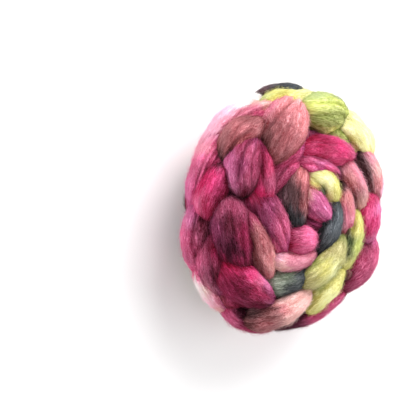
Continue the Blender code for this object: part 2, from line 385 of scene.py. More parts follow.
RIM_LOOPS = {
    "olive_ball": Loop(
        (299, 117), (321, 114), (345, 121), 30.5, 4,
        "lime .2 -.3, olive .3 .3, pear .3 -.8, lime .45 -.35, olive .5 .1, olive .42 .55, "
        "lime .5 .9, sage .65 -.85, olive .72 .15, lime .68 -.3, pear .9 -.3, sage .85 .5, "
        "pear 1 0",
        ".15 .3 .8 .1 1.4, .2 -.35 .7 -.3 1", fullness=2.3,
    ),
    "yellow_crest": Loop(
        (262, 112), (285, 101), (314, 102.5), 17, -1.5,
        "pear .1 0, yellow .35 0, pale_yellow .6 0, pale_yellow .85 0",
        fullness=6,
    ),
    "charcoal_crest": Loop(
        (253, 102), (282, 95), (307, 99.5), 16, -6,
        "plum .2 0, charcoal .5 0, slate .7 -.3, slate .9 0",
    ),
    "blush_slip": Loop(
        (282, 108), (256, 114), (228, 127), 13, -2.5,
        "pale_salmon .1 0, pale_salmon .36 .5, rose_pink .42 -.3, rose_pink .6 -.2, blush .65 .4, "
        "pale_pink .9 0",
        ".1 .2 .9 .1 1.8",
    ),
    "white_rim": Loop(
        (274, 103), (234, 118), (195, 169), 18.5, -2,
        "white .2 .4, white .4 .5, pale_salmon .3 -.3, pale_pink .55 .6, blush .5 -.3, "
        "pale_pink .7 .5, blush .62 .1, blush .75 -.5, blush .85 .3, pink 1 0",
        ".2 -.1 .95 -.15 2",
    ),
    "pink_rim": Loop(
        (227, 133), (205, 168), (195.5, 214), 18.5, -2,
        "pale_pink .1 .4, blush .35 .8, pink .45 .2, mauve .5 -.2, rose_pink .5 -.7, pink .2 -.3, "
        "orchid .85 .8, pink .85 .1",
        ".05 .1 .85 .4 2.8, .1 -.3 .8 -.1 2.8, .2 -.65 .9 -.5 2.4",
    ),
    "mauve_rim": Loop(
        (203, 198), (198, 237), (202, 276), 20.5, -2,
        "orchid .2 .7, pink .5 .85, mauve .5 .35, maroon .35 -.3, berry .5 -.5, mauve .75 -.2, "
        "pink .9 .4",
        ".05 .25 .6 .4 2.4, .4 .3 .95 -.1 2.6",
    ),
    "white_heel": Loop(
        (202, 258), (209, 284), (229, 311), 17, -2.5,
        "pink .15 .4, pink .3 .3, white .45 .8, cream .5 .5, orchid .45 0, pale_pink .65 .6, "
        "blush .7 0, pale_salmon .85 .6, orchid .85 -.1",
    ),
    "magenta_heel": Loop(
        (225, 288), (240, 314), (273, 326.5), 18, -5,
        "rose_pink .3 .8, wine .4 -.5, rose_pink .6 .9, magenta .6 .2, wine .55 -.3, mauve .9 .4",
        ".2 0 .9 .15 1.6",
    ),
    "magenta_hem": Loop(
        (345, 278), (313, 303), (268, 325), 22.5, -2.5,
        "magenta .15 0, rose_pink .5 -.8, crimson .5 .3, wine .8 0, wine .95 .2",
    ),
    "maroon_heel": Loop(
        (361, 230), (355, 261), (326, 292), 28.5, 1,
        "orchid .08 -.5, mauve .4 .2, rose_pink .42 -1, mauve .6 -.7, mauve .62 0, mauve .8 -.5, "
        "magenta .85 0, maroon .8 .5",
        ".35 .2 .95 .1 1.3",
    ),
    "pink_edge": Loop(
        (369, 187), (365, 216), (363, 244), 20, 0,
        "raspberry .3 0, orchid .5 -.9, raspberry .5 .5, hot_pink .6 -.3, orchid .88 -.2",
    ),
    "salmon_edge": Loop(
        (351, 149), (364, 176), (370, 206), 24, 1,
        "umber .12 .2, blush .3 -.9, soot .28 .2, soot .4 .15, soot .52 .4, soot .65 .6, "
        "salmon .62 -.6, pale_salmon .5 -1, pale_pink .72 -.95, rose .85 0, brown .9 .8",
        ".15 .05 .7 .2 1.6",
    ),
    "pale_yellow": Loop(
        (325, 114), (347, 134.5), (365, 159), 29, 0.5,
        "pale_yellow .2 .2, pale_yellow .5 -.3, pale_yellow .55 .7, yellow .55 .25, "
        "pale_yellow .85 0",
        ".35 .45 .9 .2 2.2", fullness=2.8,
    ),
}

BACK_RINGS = {
    # painted shade: this ring's maroon, umber and olive stand for the shade in the gaps under the
    # face's loops
    "shoulder": Ring(
        -80, 88, 5, 64, 24, 10, 25, -9,
        "magenta maroon maroon umber olive",
    ),
    "rim": Ring(
        -118, 112, 7, 106, 25, 11, 29, -1,
        "magenta raspberry magenta crimson raspberry salmon sage",
    ),
    "rim_under": Ring(
        130, 250, 3, 112, 25, 12, 27, -8,
        "pink mauve magenta",
    ),
    "back_edge": Ring(
        0, 360, 11, 133, 25, -14, 28, -3,
        "crimson hot_pink pink salmon terracotta plum charcoal olive yellow blush mauve",
    ),
    "back_turn": Ring(
        10, 370, 8, 156, 33, 10, 29, 4,
        "purple magenta hot_pink rose salmon brown sage yellow",
    ),
    "back_middle": Ring(
        0, 360, 3, 172, 60, 3, 26, 5,
        "magenta pink mauve",
    ),
}


def smooth(share: Array) -> Array:
    """Eases 0 to 1: three times the square less twice the cube."""
    share = np.clip(share, 0, 1)
    return share * share * (3 - 2 * share)


def unit(vectors: Array) -> Array:
    """The vectors, each divided by its length."""
    return vectors / np.maximum(np.linalg.norm(vectors, axis=-1, keepdims=True), TINY)


def lattice_noise(
    rng: np.random.Generator, across: Array, along: Array, cells: Size
) -> Array:
    """Smooth noise from -1 to 1 that closes on itself across.

    Random values stand on a lattice and are blended by eased steps between its points.

    Args:
        rng: where the lattice's values come from.
        across: places round the loop, one turn from 0 to 1.
        along: places along the loop, from 0 to 1.
        cells: lattice cells across and along.

    Returns:
        The noise at each place.
    """
    wide = max(2, round(cells[0]))
    high = max(1, math.ceil(cells[1]))
    table = rng.uniform(-1, 1, (high + 3, wide))  # with rows to spare for the shift of y
    x = (across % 1) * wide
    y = np.clip(along, 0, 1) * high + rng.uniform(0, 1)
    column = np.floor(x).astype(int) % wide
    row = np.floor(y).astype(int)
    beside = smooth(x - np.floor(x))
    beyond = smooth(y - row)
    after = (column + 1) % wide
    near = table[row, column] * (1 - beside) + table[row, after] * beside
    far = table[row + 1, column] * (1 - beside) + table[row + 1, after] * beside
    return near * (1 - beyond) + far * beyond


@dataclass(frozen=True)
class CoilBody:
    """The coil's rounded body, and the lines of sight that place the loops on it.

    It is worked out about its own axis. The axis field then moves it onto the solid's.
    """

    radius: float = 86 * MM
    thickness: float = 78 * MM
    power: float = 2.5
    axis: Point = (0.05 * MM, -0.43 * MM, 0)
    view_tilt: float = math.radians(33)
    view_distance: float = 567 * MM
    pixel: float = 0.70 * MM
    picture_middle: Pixel = (208, 208)
    coil_pixel: Pixel = (283, 208)
    sight_steps: int = 1200
    sight_span: float = 0.2

    @property
    def middle(self) -> Array:
        """The body's middle, on its axis."""
        return np.array([0, 0, self.thickness / 2])

    @property
    def right(self) -> Array:
        """The picture's way to the right."""
        return np.array([math.cos(self.view_tilt), 0, math.sin(self.view_tilt)])

    @property
    def up(self) -> Array:
        """The picture's way up."""
        return np.array([0, 1, 0])

    @property
    def towards_eye(self) -> Array:
        """The way from the picture to the eye."""
        return np.array([-math.sin(self.view_tilt), 0, math.cos(self.view_tilt)])

    @property
    def eye(self) -> Array:
        """Where the eye stands."""
        facing = self.on_picture(np.array(self.picture_middle))
        return facing + self.view_distance * self.towards_eye

    def on_picture(self, pixels: Array) -> Array:
        """Where pixels lie on the plane through the body's middle that faces the eye.

        Args:
            pixels: the pixels, counted from the picture's upper left corner.

        Returns:
            One point for each.
        """
        aside = (pixels[..., :1] - self.coil_pixel[0]) * self.pixel
        above = (self.coil_pixel[1] - pixels[..., 1:]) * self.pixel
        return self.middle + aside * self.right + above * self.up

    def point(self, azimuth: Array, over: Array, inset: Array) -> Array:
        """Points of the body taken in by inset.

        Its profile is a superellipse: the radius is |sin over| and the height is cos over,
        each to the power 2 / power, times the half sizes less the inset.

        Args:
            azimuth: turns round the axis, in radians.
            over: 0 at the face's middle to pi at the back's.
            inset: how far the body is taken in.

        Returns:
            The points, one for each place.
        """
        half = self.thickness / 2
        radius = (self.radius - inset) * np.abs(np.sin(over)) ** (2 / self.power)
        rise = np.sign(np.cos(over)) * np.abs(np.cos(over)) ** (2 / self.power)
        return np.stack(
            [radius * np.cos(azimuth), radius * np.sin(azimuth), half + (half - inset) * rise],
            axis=-1,
        )

    def level(self, points: Array, inset: Array) -> Array:
        """How far out points lie: 1 on the body taken in by inset, and less inside it.

        The value is the radius and the height, each over its half size and to the body's
        power, added up.

        Args:
            points: the points.
            inset: how far the body is taken in.

        Returns:
            One value for each point.
        """
        half = self.thickness / 2
        radius = np.hypot(points[..., 0], points[..., 1]) / (self.radius - inset)
        height = np.abs(points[..., 2] - half) / (half - inset)
        return radius**self.power + height**self.power

    def on_sight_lines(self, pixels: Array, insets: Array) -> Array:
        """Where lines of sight first meet the body taken in by insets.

        A line that passes the body by gives its nearest point to the body instead.

        Args:
            pixels: one pixel for each line.
            insets: how far the body is taken in for it.

        Returns:
            One point for each line.
        """
        share = np.linspace(1 - self.sight_span, 1 + self.sight_span, self.sight_steps)
        ways = (self.on_picture(pixels) - self.eye)[:, None]
        lines = self.eye + share[None, :, None] * ways
        level = self.level(lines, insets[:, None])
        inside = level <= 1
        met = np.where(inside.any(1), inside.argmax(1), level.argmin(1))
        return lines[np.arange(len(pixels)), met]


COIL = CoilBody()


@dataclass
class PlannedLoop:
    """A loop's course and finish, before its surface is worked out."""

    name: str
    course: Array
    width: float
    dyes: tuple[Blot, ...]
    partings: tuple[Parting, ...] = ()
    belly: float = 0.5
    fullness: float = 2.4


@dataclass(frozen=True)
class LoopForm:
    """How the rope swells into a loop between two stitches, and how uneven a ring's loops are.

    A ring's blots say whose dye each takes, counted from the loop, and where it lies.
    """

    tip_dip: float = 7 * MM
    roundness: float = 0.6
    samples: int = 65
    curve_terms: int = 5
    uneven_step: float = 3.0
    uneven_width: float = 0.08
    uneven_turns: tuple[float, float] = (1.7, 2.4)
    ring_blots: tuple[tuple[int, float, float], ...] = (
        (-1, 0.02, 0), (0, 0.3, -0.3), (0, 0.6, 0.4), (1, 0.98, 0.1),
    )

    def dip(self, along: Array) -> Array:
        """How far a loop dives: the cube of the way from its middle to its tips."""
        return self.tip_dip * np.abs(2 * along - 1) ** 3

    def radius(self, along: Array, plan: PlannedLoop) -> Array:
        """Half the thickness along a loop: nothing at its tips, full at its belly."""
        warped = along ** (math.log(0.5) / math.log(plan.belly))
        return plan.width / 2 * (1 - np.abs(2 * warped - 1) ** plan.fullness) ** self.roundness

    def eased(self, along: Array, points: Array) -> Array:
        """The smooth curve of a few terms that fits the course best."""
        terms = np.polynomial.chebyshev.chebfit(2 * along - 1, points, self.curve_terms)
        return np.polynomial.chebyshev.chebval(2 * along - 1, terms).T

    def placed(self, name: str, loop: Loop) -> PlannedLoop:
        """Plans a listed loop: a parabola of pixels, seen on the coil's body.

        Args:
            name: the loop's name.
            loop: the loop.

        Returns:
            Its plan.
        """
        along = np.linspace(0, 1, self.samples)
        start, middle, end = (np.asarray(p, float) for p in (loop.start, loop.middle, loop.end))
        pull = 2 * middle - (start + end) / 2
        t = along[:, None]
        pixels = (1 - t) ** 2 * start + 2 * t * (1 - t) * pull + t**2 * end
        width = loop.width * MM
        insets = width / 2 - loop.lift * MM + self.dip(along)
        course = self.eased(along, COIL.on_sight_lines(pixels, insets))
        dyes, partings = Blot.read(loop.dyes), Parting.read(loop.partings)
        return PlannedLoop(name, course, width, dyes, partings, loop.belly, loop.fullness)

    def ringed(self, name: str, ring: Ring) -> list[PlannedLoop]:
        """Plans the loops of a ring: each one's dye runs into its neighbours'.

        Args:
            name: the ring's name.
            ring: the ring.

        Returns:
            The plans of its loops.
        """
        along = np.linspace(0, 1, self.samples)
        lean = 2 * along - 1
        dyes = [Dye[word.upper()] for word in ring.dyes.split()]
        plans = []
        for number in range(ring.count):
            middle = ring.first + (ring.last - ring.first) * number / ring.count
            middle += self.uneven_step * math.sin(self.uneven_turns[0] * number)
            swell = self.uneven_width * math.sin(self.uneven_turns[1] * number)
            width = ring.width * MM * (1 + swell)
            course = COIL.point(
                np.radians(middle + ring.reach * lean),
                np.radians(ring.over + ring.slant * lean),
                width / 2 - ring.lift * MM + self.dip(along),
            )
            blots = tuple(
                Blot(dyes[(number + step) % ring.count], *place)
                for step, *place in self.ring_blots
            )
            plans.append(PlannedLoop(f"{name}_{number}", course, width, blots))
        return plans


FORM = LoopForm()


@dataclass
class Places:
    """The places on one loop's surface, on rings along it and sides round it.

    Attributes:
        along: from 0 to 1 along the loop.
        turn: the share of a turn round it, 0 on its outer side.
        radius: the loop's radius there.
        length: how long the loop is.
        seen: the way across the loop in the picture, from -1 to 1.
        facing: how far the place faces the eye, from -1 to 1.
    """

    along: Array
    turn: Array
    radius: Array
    length: float
    seen: Array
    facing: Array


class Grain(NamedTuple):
    """One size of relief: smooth noise of that width across a loop, drawn out along it.

    A grain with a power is ridged: it is the noise's size taken to the power, less the
    middle, so that narrow valleys run where the noise changes sign.
    """

    width: float
    depth: float
    stretch: float
    power: float = 0
    middle: float = 0


@dataclass(frozen=True)
class Relief:
    """How the wool's lumps, locks, strands and fibres stand in relief on a loop.

    Those are its grains, in that order, and the last three weigh in its streaks. The relief
    grows by a power of the loop's radius and sinks by another towards its tips.
    """

    grains: tuple[Grain, ...] = (
        Grain(20 * MM, 0.9 * MM, 3),
        Grain(9 * MM, 1.5 * MM, 1.2, 0.6, 0.6),
        Grain(3.6 * MM, 0.65 * MM, 2, 0.8, 0.5),
        Grain(1.5 * MM, 0.3 * MM, 3.5),
    )
    streaks: tuple[float, float, float] = (0.45, 0.35, 0.35)
    lock_length: float = 34 * MM
    usual_radius: float = 14 * MM
    growth: float = 0.5
    taper: float = 0.7
    wander: float = 0.035
    wander_cells: Size = (4, 2)
    parting_width: float = 1.4 * MM
    parting_end_fade: float = 5
    parting_side_fade: float = 3
    parting_streak: float = 2
    least_reach: float = 0.15
    squareness: float = 2.4
    flatness: float = 1.05


RELIEF = Relief()


@dataclass(frozen=True)
class Dyeing:
    """How the dyes of a loop meet in feathered streaks, with painted shade in its crevices and
    relief valleys and a painted highlight on its ridges.
    """

    feather_width: float = 2.5 * MM
    feather: float = 3.5 * MM
    feather_rows: int = 2
    drift: float = 3 * MM
    drift_cells: Size = (6, 3)
    softness: float = 3 * MM
    crevice: float = 4 * MM
    # painted shade: these darken the dyes where loops meet; the last power paints shade in the
    # relief's valleys and a highlight on its ridges
    shade_power_in_crevices: float = 0.45
    crevice_shade: float = 0.15
    relief_shade_power: float = 0.24

    def dyed(self, plan: PlannedLoop, rng: np.random.Generator, places: Places) -> Array:
        """The dye at each place: the blots' colours, nearer ones weighing more.

        The weight is one over the fourth power of the distance. Places are first moved
        along the loop by streaky noise, so that dyes meet in feathered streaks.

        Args:
            plan: the loop.
            rng: where its noise comes from.
            places: the places on it.

        Returns:
            Scene-linear colours.
        """
        full = plan.width / 2
        cells = (2 * np.pi * full / self.feather_width, self.feather_rows)
        feather = lattice_noise(rng, places.turn, places.along, cells)
        drift = lattice_noise(rng, places.turn, places.along, self.drift_cells)
        place = places.along * places.length + feather * self.feather + drift * self.drift
        total = np.zeros(place.shape + (3,))
        weights = np.zeros(place.shape)
        for blot in plan.dyes:
            aside = (places.seen - blot.across) * full
            apart = (place - blot.along * places.length) ** 2 + aside**2 + self.softness**2
            weight = apart**-2.0
            total += weight[..., None] * blot.dye.linear
            weights += weight
        return total / weights[..., None]

    def with_painted_shade(self, colours: Array, open_air: Array, streaks: Array) -> Array:
        """The dyes, with painted shade in crevices and in the relief's valleys and a painted
        highlight on its ridges.

        The dye is taken to a power, which is above 1 in crevices and valleys and below 1 on
        ridges. So a pale dye stays pale there and a strong one grows dark.

        Args:
            colours: the dyes.
            open_air: how far each place stands off the other loops.
            streaks: the fine relief, from -1 in valleys to 1 on ridges.

        Returns:
            The dyes with their painted shade and highlight.
        """
        closed = 1 - smooth(open_air / self.crevice)
        power = 1 + self.shade_power_in_crevices * closed - self.relief_shade_power * streaks
        return colours ** power[..., None] * (1 - self.crevice_shade * closed)[..., None]


DYEING = Dyeing()


@dataclass
class LoopSurface:
    """The finished surface of one loop, on a grid of rings along it and sides round it.

    Attributes:
        points: where the grid's points are.
        normals: the ways out of the surface.
        colours: the dye at each point with its painted shade and highlight, scene-linear.
        lay: metres across and along the fibres, with the seam's side given twice.
        open_air: how far each point stands off the other loops.
        length: how long the loop is.
        radius: half its thickness at the belly.
    """

    points: Array
    normals: Array
    colours: Array
    lay: Array
    open_air: Array
    length: float
    radius: float


class Neighbours:
    """Balls strung along every loop, to tell how far a point stands off the others."""

    def __init__(self, plans: list[PlannedLoop], step: int = 2) -> None:
        """Strings the balls.

        Args:
            plans: every loop of the coil.
            step: how many samples of a course lie between two balls.
        """
        along = np.linspace(0, 1, FORM.samples)[::step]
        self.centres = np.concatenate([plan.course[::step] for plan in plans])
        self.radii = np.concatenate([FORM.radius(along, plan) for plan in plans])
        self.owners = np.repeat(np.arange(len(plans)), len(along))
        self.numbers = {plan.name: number for number, plan in enumerate(plans)}

    def open_air(self, name: str, points: Array, farthest: float = 8 * MM) -> Array:
        """The least distance from each point to the surface of another loop.

        Args:
            name: the loop that the points belong to.
            points: the points.
            farthest: distances are read up to this.

        Returns:
            The distances, below 0 inside another loop.
        """
        flat = points.reshape(-1, 3)
        middle = flat.mean(0)
        reach = np.linalg.norm(flat - middle, axis=1).max() + farthest
        near = np.linalg.norm(self.centres - middle, axis=1) < reach + self.radii
        near &= self.owners != self.numbers[name]
        centres = self.centres[near].astype(np.float32)
        radii = self.radii[near].astype(np.float32)
        flat = flat.astype(np.float32)
        squares = (flat**2).sum(1)[:, None] + (centres**2).sum(1) - 2 * flat @ centres.T
        gaps = np.sqrt(np.maximum(squares, 0)) - radii
        return np.minimum(gaps.min(1), farthest).reshape(points.shape[:-1])


@dataclass(frozen=True)
class LoopMaker:
    """Works out loops' surfaces: the rope's form, its relief and its dyes.

    Attributes:
        neighbours: the balls strung along every loop.
        rings: rings along a loop, its two tips among them.
        sides: points round a loop.
        even_share: how much of the rings' spacing is even.
        tip_share: how much of it is drawn in towards the tips.
        outer_share: how far the sides are drawn in towards the outer side.
        lay_step: how far apart the loops start on the streak pattern.
        first_seed: the seed of the first loop's noise.
    """

    neighbours: Neighbours
    rings: int
    sides: int
    even_share: float = 0.45
    tip_share: float = 0.55
    outer_share: float = 0.5
    lay_step: Size = (0.37, 0.53)
    first_seed: int = 1000

    def grid(self) -> tuple[Array, Array]:
        """The grid's lines, closer to each other at the tips and on the outer side.

        Returns:
            The rings' places from 0 to 1 along, and the sides' turns in radians.
        """
        even = np.linspace(0, 1, self.rings)
        along = self.even_share * even + self.tip_share * (1 - np.cos(np.pi * even)) / 2
        turn = np.linspace(-np.pi, np.pi, self.sides + 1)
        return along, turn - self.outer_share * np.sin(turn)

    def troughs(self, plan: PlannedLoop, places: Places) -> list[tuple[float, Array]]:
        """The partings of a loop: bell-shaped troughs along lines of the side that shows.

        Args:
            plan: the loop.
            places: the places on it.

        Returns:
            Each one's depth, and how deep it is at each place, from 0 to 1.
        """
        steep = RELIEF.parting_end_fade
        found = []
        for parting in plan.partings:
            share = (places.along - parting.along) / (parting.to_along - parting.along)
            line = parting.across + (parting.to_across - parting.across) * share
            reach = np.maximum(places.radius, RELIEF.least_reach * plan.width)
            off = (places.seen - line) * reach / RELIEF.parting_width
            ends = smooth(share * steep) * smooth((1 - share) * steep)
            fade = ends * smooth(places.facing * RELIEF.parting_side_fade)
            found.append((parting.depth, fade * np.exp(-(off**2))))
        return found

    def heights(
        self, plan: PlannedLoop, rng: np.random.Generator, places: Places
    ) -> tuple[Array, Array]:
        """The relief at each place, and its fine streaks alone.

        Every grain's noise times its depth is added up, the partings are taken off, and the
        sum sinks towards the tips.

        Args:
            plan: the loop.
            rng: where its noise comes from.
            places: the places on it.

        Returns:
            The heights in metres, and streaks from -1 to 1.
        """
        full = plan.width / 2
        girth = 2 * np.pi * full
        stretch = places.length / RELIEF.lock_length
        stray = lattice_noise(rng, places.turn, places.along, RELIEF.wander_cells)
        across = places.turn + stray * RELIEF.wander
        waves = []
        for grain in RELIEF.grains:
            cells = (girth / grain.width, stretch * grain.stretch)
            wave = lattice_noise(rng, across, places.along, cells)
            waves.append(np.abs(wave) ** grain.power - grain.middle if grain.power else wave)
        heights = sum(grain.depth * wave for grain, wave in zip(RELIEF.grains, waves))
        heights = heights * (full / RELIEF.usual_radius) ** RELIEF.growth
        locks, strands, fibres = waves[1:]
        for depth, trough in self.troughs(plan, places):
            heights = heights - depth * trough
            locks = locks - RELIEF.parting_streak * trough
        lock, strand, fibre = RELIEF.streaks
        streaks = lock * locks + strand * strands + fibre * fibres
        return heights * (places.radius / full) ** RELIEF.taper, streaks

    def make(self, plan: PlannedLoop) -> LoopSurface:
        """The finished surface of a loop.

        The rope is carried along its course: each ring lies round the middle line, across
        it and out from the coil's middle, at the radius there plus the relief.

        Args:
            plan: the loop.

        Returns:
            Its surface.
        """
        number = self.neighbours.numbers[plan.name]
        rng = np.random.default_rng(self.first_seed + number)
        along, turn = self.grid()
        samples = np.linspace(0, 1, FORM.samples)
        middle = np.stack([np.interp(along, samples, plan.course[:, k]) for k in range(3)], -1)
        ways = unit(np.gradient(plan.course, axis=0))
        ways = unit(np.stack([np.interp(along, samples, ways[:, k]) for k in range(3)], -1))
        sideways = unit(np.cross(ways, middle - COIL.middle))
        outward = np.cross(sideways, ways)
        length = float(np.linalg.norm(np.diff(plan.course, axis=0), axis=1).sum())
        radius = FORM.radius(along, plan)
        column, row = along[:, None], turn[None, :-1]
        flat = RELIEF.flatness
        ring = (
            flat * np.sin(row)[..., None] * sideways[:, None]
            + np.cos(row)[..., None] * outward[:, None] / flat
        )
        seen = (ring * unit(np.cross(ways, COIL.towards_eye))[:, None]).sum(-1)
        facing = (ring * COIL.towards_eye).sum(-1)
        spread_out = np.broadcast_arrays(column, row / (2 * np.pi), radius[:, None])
        places = Places(*spread_out, length, seen, facing)
        heights, streaks = self.heights(plan, rng, places)
        power = RELIEF.squareness
        plump = (np.abs(np.sin(row)) ** power + np.abs(np.cos(row)) ** power) ** (-1 / power)
        spread = (radius[:, None] * plump + heights) * (radius[:, None] > 0)
        points = middle[:, None] + spread[..., None] * ring
        open_air = self.neighbours.open_air(plan.name, points)
        # the dyes get painted shade in crevices and relief valleys and a painted highlight on
        # relief ridges
        colours = DYEING.with_painted_shade(DYEING.dyed(plan, rng, places), open_air, streaks)
        points = points + COIL.axis
        points[..., 2] = np.maximum(points[..., 2], 0)
        across, onward = np.broadcast_arrays(turn[None, :] * plan.width / 2, column * length)
        step_across, step_onward = self.lay_step
        lay = np.stack([across + step_across * number, onward + step_onward * number], axis=-1)
        way_round = np.roll(points, -1, 1) - np.roll(points, 1, 1)
        normals = unit(np.cross(way_round, np.gradient(points, axis=0)))
        normals *= np.sign((normals * ring).sum(-1, keepdims=True) + NUDGE)
        colours = np.clip(colours, 0, 1)
        return LoopSurface(points, normals, colours, lay, open_air, length, plan.width / 2)


class Faces(NamedTuple):
    """Mesh data: points, corners of faces in turn, faces' sizes, and what they carry."""

    points: Array
    corners: Array
    sizes: Array
    colours: Array
    lay: Array
    bake: Array


def cell(number: int, count: int) -> tuple[float, float, float]:
    """The lower left corner and the side of one cell of a square chart.

    Args:
        number: which cell.
        count: how many cells the chart needs.

    Returns:
        Its corner's two coordinates and its side, less a margin.
    """
    wide = math.ceil(math.sqrt(count))
    margin = CELL_MARGIN / wide
    row, column = divmod(number, wide)
    return column / wide + margin, row / wide + margin, 1 / wide - 2 * margin


def skinned(grid: Array, colours: Array, lay: Array, number: int, count: int) -> Faces:
    """A loop's closed mesh: quads between its rings and a fan at each tip.

    Args:
        grid: its points, on rings along it and sides round it.
        colours: their dyes, with their painted shade and highlight.
        lay: metres across and along the fibres, with the seam's side given twice.
        number: which loop of its piece it is.
        count: how many loops the piece has.

    Returns:
        The mesh data.
    """
    rings, sides = grid.shape[:2]

    def closed(values: Array) -> Array:
        """A grid's values with one point at each tip."""
        return np.concatenate([values[0, :1], values[1:-1].reshape(-1, 3), values[-1, :1]])

    points = closed(grid)
    ring = np.arange(rings - 3)[:, None] * sides + 1
    here = np.arange(sides)[None, :]
    after = (here + 1) % sides
    quads = np.stack(
        [ring + here, ring + after, ring + sides + after, ring + sides + here], axis=-1
    ).reshape(-1, 4)
    near, beside = here[0], after[0]
    last, final = len(points) - 1, 1 + (rings - 3) * sides
    first_fan = np.stack([np.zeros(sides, int), 1 + beside, 1 + near], axis=-1)
    last_fan = np.stack([np.full(sides, last), final + near, final + beside], axis=-1)
    corners = np.concatenate([quads.ravel(), first_fan.ravel(), last_fan.ravel()])
    sizes = np.repeat([4, 3], [len(quads), 2 * sides])

    def mapped(chart: Array) -> Array:
        """Reads a chart on the full grid at the faces' corners.

        Args:
            chart: the chart, with the seam's side given twice.

        Returns:
            One place for each corner.
        """
        body = chart[1:-1]
        around = np.stack([body[:-1, :-1], body[:-1, 1:], body[1:, 1:], body[1:, :-1]], axis=2)
        tip = (chart[0, :-1] + chart[0, 1:]) / 2
        end = (chart[-1, :-1] + chart[-1, 1:]) / 2
        start_fan = np.stack([tip, chart[1, 1:], chart[1, :-1]], axis=1)
        end_fan = np.stack([end, chart[-2, :-1], chart[-2, 1:]], axis=1)
        return np.concatenate([part.reshape(-1, 2) for part in (around, start_fan, end_fan)])

    left, low, side = cell(number, count)
    u, v = np.meshgrid(np.linspace(0, 1, sides + 1), np.linspace(0, 1, rings))
    bake = np.stack([left + side * u, low + side * v], axis=-1)
    return Faces(points, corners, sizes, closed(colours), mapped(lay), mapped(bake))


def joined(parts: list[Faces]) -> Faces:
    """Several meshes' data as one.

    Args:
        parts: the meshes' data.

    Returns:
        Their data end to end, with the later ones' corners moved up.
    """
    starts = np.cumsum([0] + [len(part.points) for part in parts])
    moved = [part._replace(corners=part.corners + start) for part, start in zip(parts, starts)]
    return Faces(*(np.concatenate(arrays) for arrays in zip(*moved)))


def shown(name: str, data: bpy.types.ID) -> bpy.types.Object:
    """Puts a mesh, a light or a camera into the scene.

    Args:
        name: the object's name.
        data: what it shows.

    Returns:
        The object.
    """
    thing = bpy.data.objects.new(name, data)
    bpy.context.scene.collection.objects.link(thing)
    return thing


def piece_from(name: str, faces: Faces, material: bpy.types.Material) -> None:
    """Makes a finished piece that rides on the coil's body and stands for its solid.

    Args:
        name: the piece's name.
        faces: its mesh data.
        material: its finish.
    """
    mesh = bpy.data.meshes.new(name)
    mesh.vertices.add(len(faces.points))
    mesh.vertices.foreach_set("co", faces.points.astype(np.float32).ravel())
    mesh.loops.add(len(faces.corners))
    mesh.loops.foreach_set("vertex_index", faces.corners.astype(np.int32))
    mesh.polygons.add(len(faces.sizes))
    starts = np.cumsum(faces.sizes) - faces.sizes
    mesh.polygons.foreach_set("loop_start", starts.astype(np.int32))
    mesh.update(calc_edges=True)
    for layer, chart in ((LAY_MAP, faces.lay), (BAKE_MAP, faces.bake)):
        mesh.uv_layers.new(name=layer).uv.foreach_set("vector", chart.astype(np.float32).ravel())
    # the colours written here are dyes with their painted shade and highlight
    dye = mesh.color_attributes.new(DYE_AND_SHADE_ATTRIBUTE, "FLOAT_COLOR", "POINT")
    solid = np.ones((len(faces.colours), 4), np.float32)
    solid[:, :3] = faces.colours
    dye.data.foreach_set("color", solid.ravel())
    mesh.shade_smooth()
    mesh.materials.append(material)
    piece = shown(name, mesh)
    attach(piece, BODY)
    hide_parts(CAD_NODE)
    LOG.info("%s: %d faces", name, len(faces.sizes))


class Weave(NamedTuple):
    """A noise's grain across and along the fibres, and how many finer layers it has."""

    across: float
    along: float
    detail: float


@dataclass(frozen=True)
class Sheet:
    """A node tree, with short ways to lay nodes on it."""

    tree: bpy.types.NodeTree

    def add(
        self, kind: str, inputs: dict[str | int, Socket | float | Point],
        **settings: str | bool | bpy.types.NodeTree,
    ) -> bpy.types.Node:
        """Adds a node.

        Args:
            kind: Blender's name for it.
            inputs: for each input of note, the socket that feeds it or its value.
            settings: the node's own settings.

        Returns:
            The node.
        """
        node = self.tree.nodes.new(kind)
        for name, value in settings.items():
            setattr(node, name, value)
        for name, value in inputs.items():
            if isinstance(value, Socket):
                self.tree.links.new(value, node.inputs[name])
            else:
                node.inputs[name].default_value = value
        return node

    def sum(self, operation: str, *terms: Socket | float, clamp: bool = False) -> Socket:
        """The outcome of one of Blender's sums on sockets and numbers, clamped or not."""
        given = dict(enumerate(terms))
        return self.add("ShaderNodeMath", given, operation=operation, use_clamp=clamp).outputs[0]

    def noise(self, lay: Socket, weave: Weave) -> Socket:
        """Noise of a grain of its own.

        Args:
            lay: metres across and along the fibres.
            weave: the grain.

        Returns:
            The noise's output.
        """
        counts = (1 / weave.across, 1 / weave.along, 1)
        scaled = self.add("ShaderNodeVectorMath", {0: lay, 1: counts}, operation="MULTIPLY")
        inputs = {"Vector": scaled.outputs[0], "Scale": 1.0, "Detail": weave.detail}
        return self.add("ShaderNodeTexNoise", inputs, noise_dimensions="2D").outputs[0]

    def toned(self, dye: Socket, tone: tuple[float, float]) -> Socket:
        """The dye taken to a power, then times a factor.

        Args:
            dye: the dye.
            tone: the power and the factor.

        Returns:
            The toned dye.
        """
        power = self.add("ShaderNodeGamma", {"Color": dye, "Gamma": tone[0]}).outputs[0]
        inputs = {0: power, "Scale": tone[1]}
        return self.add("ShaderNodeVectorMath", inputs, operation="SCALE").outputs[0]


